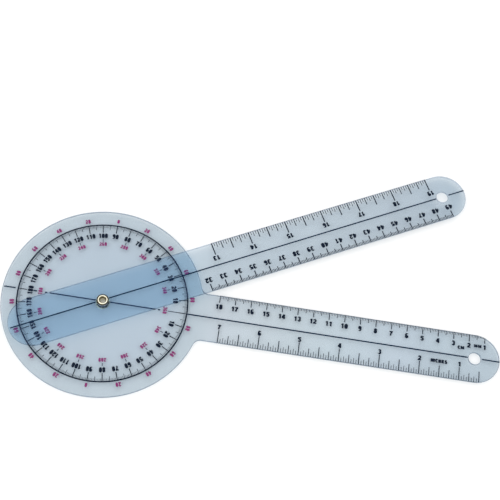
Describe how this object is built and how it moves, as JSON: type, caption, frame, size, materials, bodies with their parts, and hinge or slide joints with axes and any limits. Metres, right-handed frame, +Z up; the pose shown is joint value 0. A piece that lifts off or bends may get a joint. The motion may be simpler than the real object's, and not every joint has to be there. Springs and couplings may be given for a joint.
{
  "type": "goniometer",
  "caption": "Clear plastic full-circle goniometer: a printed degree dial in one piece with its ruled stationary arm, and a ruled moving arm that turns on a hollow brass eyelet.",
  "frame": {"origin": "on the pivot axis, at the underside of the dial", "axes": "+X along the stationary arm to its tip, +Z up out of the printed faces to the reader"},
  "size_m": [0.3154, 0.1899, 0.005],
  "materials": {
    "clear_dial_sheet": "clear sheet with a faint blue haze, polished",
    "clear_arm_sheet": "clear sheet with a faint blue haze, polished",
    "eyelet_brass": "bright, lightly tarnished",
    "film": "translucent film",
    "black_ink": "screen-printed black",
    "magenta_ink": "screen-printed magenta"
  },
  "bodies": {
    "dial_body": {"dial_with_fixed_arm": "clear_dial_sheet", "pivot_eyelet": "eyelet_brass", "back_washer": "eyelet_brass", "film_washer": "film", "dial_degree_ring": "black_ink", "dial_index_line": "black_ink", "fixed_arm_inch_marks": "black_ink", "fixed_arm_cm_marks": "black_ink"},
    "moving_arm": {"moving_arm": "clear_arm_sheet", "moving_arm_index_line": "black_ink", "moving_arm_inch_marks": "black_ink", "moving_arm_cm_marks": "black_ink"}
  },
  "joints": [
    {"name": "arm_pivot", "type": "hinge", "parent": "dial_body", "child": "moving_arm", "pos_m": [0, 0, 0.0025], "axis": [0, 0, 1], "continuous": true}
  ]
}
